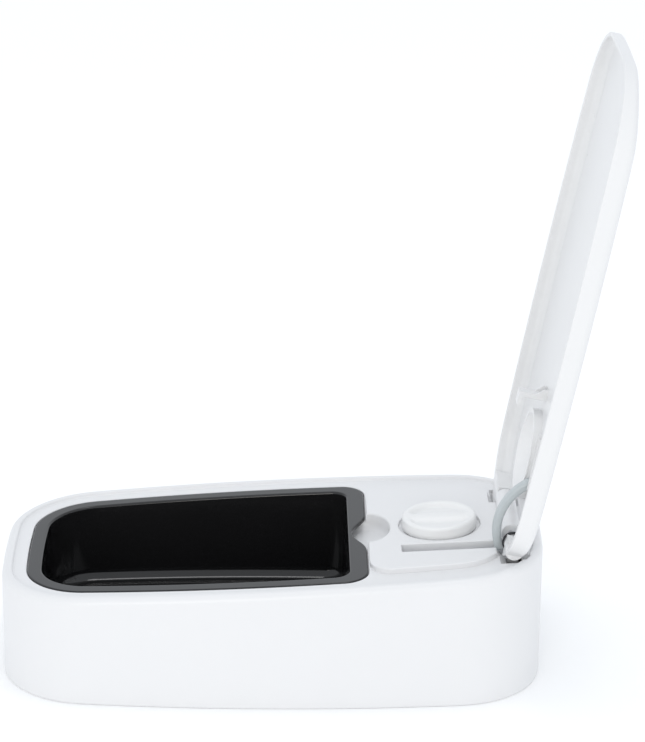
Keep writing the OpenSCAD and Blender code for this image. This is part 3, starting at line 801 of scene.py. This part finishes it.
def dial_knob():
    n = 288
    turns = [2 * math.pi * k / n for k in range(n)]
    under = [
        (1.2, KNOB_SHAFT_T), (SHAFT_R, KNOB_SHAFT_T), (SHAFT_R, KNOB_FOOT_T),
        (KNOB_HUB_R, KNOB_FOOT_T), (KNOB_HUB_R, KNOB_SHELL_T),
        (KNOB_SHELL_R, KNOB_SHELL_T), (KNOB_SHELL_R, KNOB_FOOT_T),
        (KNOB_R - 0.3, KNOB_FOOT_T), (KNOB_R, 0), (KNOB_R, 2),
    ]
    rings = [[deck(r * math.cos(a), DIAL_S + r * math.sin(a), t) for a in turns] for r, t in under]
    inside = KNOB_R - KNOB_RIM_R
    radii = [inside + KNOB_RIM_R * math.cos(math.pi / 2 * i / 8) for i in range(9)]
    radii += [inside - (inside - 0.3) * i / 72 for i in range(1, 73)]
    for r in radii:
        rings.append(
            [
                deck(r * math.cos(a), DIAL_S + r * math.sin(a), knob_height(r * math.cos(a), r))
                for a in turns
            ]
        )
    piece = loft("dial_knob", rings)
    finish_mesh(piece, 60, weigh=False)
    place(piece, "timer_knob", knob_white, "dial", "knob", "dial_knob")


# ---- lift arm and spring ---------------------------------------------------------------------


def lift_arm():
    section = rounded(-ARM_THICK / 2, -ARM_W / 2, ARM_THICK / 2, ARM_W / 2, 1.5)
    rings = []
    for i in range(61):
        a = math.radians(ARM_FROM + (ARM_TO - ARM_FROM) * i / 60)
        rings.append(
            [
                (
                    ARM_X + w,
                    ARM_CENTRE[0] + (ARM_R + d) * math.cos(a),
                    ARM_CENTRE[1] + (ARM_R + d) * math.sin(a),
                )
                for d, w in section
            ]
        )
    piece = loft("lift_arm", rings)
    tip = math.radians(ARM_FROM)
    nose = (ARM_CENTRE[0] + ARM_R * math.cos(tip), ARM_CENTRE[1] + ARM_R * math.sin(tip))
    x0 = ARM_X - ARM_W / 2 + HUB_INSET
    x1 = ARM_X + ARM_W / 2 - HUB_INSET
    ends = [
        rod(x0, x1, HUB_R, *ARM_PIVOT, edge=0.5, place=world_place),
        rod(x0, x1, ARM_NOSE_R, *nose, edge=1.2, place=world_place),
    ]
    bore = rod(0, 60, ARM_PIN_R + RUNNING, *ARM_PIVOT, place=world_place)
    shape(piece, add=ends, cut=[bore])
    finish_mesh(piece)
    place(piece, "curved_lift_arm", arm_grey, "lift_arm", "arm", "lift_arm")


def tube(path, r, n=12):
    """A wire along path, closed at both ends."""
    rings = []
    for i, p in enumerate(path):
        ahead = (Vector(path[min(i + 1, len(path) - 1)]) - Vector(path[max(i - 1, 0)])).normalized()
        u = ahead.cross(Vector((1, 0, 0))).normalized()
        v = ahead.cross(u)
        turns = [2 * math.pi * k / n for k in range(n)]
        rings.append([tuple(Vector(p) + r * (math.cos(a) * u + math.sin(a) * v)) for a in turns])
    return loft("tube", rings)


def lid_spring():
    per_turn = 48
    steps = 2 * per_turn
    path = []
    for i in range(steps + 1):
        a = 2 * math.pi * i / per_turn
        x = KNUCKLE_IN + 0.8 + COIL_L * i / steps
        path.append(deck(x, HINGE_S + COIL_R * math.cos(a), HINGE_T + COIL_R * math.sin(a)))
    piece = tube(path, COIL_WIRE_R)
    finish_mesh(piece, 50)
    place(piece, "lid_torsion_spring", spring_steel, "housing", "spring_steel", "lid_spring")


# ---- nodes that keep their CAD shape ---------------------------------------------------------

finishes = {
    "base_cover": base_white,
    "battery_door": base_white,
    "base_screws": steel,
    "rubber_feet": rubber,
    "battery": cell_wrap,
    "contact_spring": contact,
    "contact_plate": contact,
    "hinge_pin": steel,
    "arm_pin": steel,
    "dial_shaft": steel,
    "trip_cam": acetal,
    "dial_gear": acetal,
    "shaft_clip": spring_steel,
    "timer_pinion": acetal,
    "mechanism_plate": acetal,
    "mechanism_screws": steel,
    "timer_cover": case_grey,
    "timer_case": case_grey,
    "timer_screws": steel,
    "circuit_board": board_green,
    "motor_coil": coil_copper,
    "latch_bolt": acetal,
    "latch_spring": contact,
    "lead_red": red_vinyl,
    "lead_black": black_vinyl,
}


def carried_over():
    for name, material in finishes.items():
        for place_of in frame["nodes"][name].material_slots:
            place_of.material = material


# ---- camera, light and floor -----------------------------------------------------------------


def camera():
    azimuth = math.radians(89.04)
    elevation = math.radians(20.42)
    roll = math.radians(0.668)
    aim = Vector((0, 0.0216, 0.1357))
    distance = 1.3293
    level = math.cos(elevation)
    back = Vector(
        (math.sin(azimuth) * level, -math.cos(azimuth) * level, math.sin(elevation))
    )
    data = bpy.data.cameras.new("camera")
    data.sensor_width = 36
    data.lens = 146.6
    data.shift_y = -0.0075
    eye = bpy.data.objects.new("camera", data)
    bpy.context.scene.collection.objects.link(eye)
    turn = (-back).to_track_quat("-Z", "Y").to_matrix().to_4x4()
    eye.matrix_world = Matrix.Translation(aim + back * distance) @ turn @ Matrix.Rotation(roll, 4, "Z")
    bpy.context.scene.camera = eye


def area_light(name, spot, aim, size, power, colour=(1, 1, 1)):
    data = bpy.data.lights.new(name, "AREA")
    data.shape = "DISK"
    data.size = size
    data.energy = power
    data.color = colour
    lamp = bpy.data.objects.new(name, data)
    bpy.context.scene.collection.objects.link(lamp)
    lamp.location = spot
    lamp.rotation_euler = (Vector(aim) - Vector(spot)).to_track_quat("-Z", "Y").to_euler()


def studio():
    scene = bpy.context.scene
    scene.view_settings.view_transform = "Standard"
    scene.view_settings.look = "None"
    world = bpy.data.worlds.new("studio")
    world.use_nodes = True
    scene.world = world
    ground = world.node_tree.nodes["Background"]
    ground.inputs["Color"].default_value = (0.95, 0.985, 1.03, 1)
    ground.inputs["Strength"].default_value = 0.96
    area_light("key", (1.55, -0.25, 0.42), (0, 0, 0.06), 0.6, 4.2, (1, 0.95, 0.88))
    area_light("top", (-0.1, 0.1, 1.7), (0, 0, 0.05), 0.45, 2.0)
    bpy.ops.mesh.primitive_circle_add(vertices=96, radius=6, fill_type="NGON")
    floor = bpy.context.object
    floor.name = "floor"
    paper = surface("paper", (0.98, 0.98, 0.98), 0.85, vary=0.004, swing=0.03, cloud=3, bump=0.02)
    paper.node_tree.nodes["Principled BSDF"].inputs["Emission Color"].default_value = (1, 1, 1, 1)
    paper.node_tree.nodes["Principled BSDF"].inputs["Emission Strength"].default_value = 0.06
    floor.data.materials.append(paper)


camera()
studio()
housing()
bowl()
lid()
dial_knob()
lift_arm()
lid_spring()
carried_over()
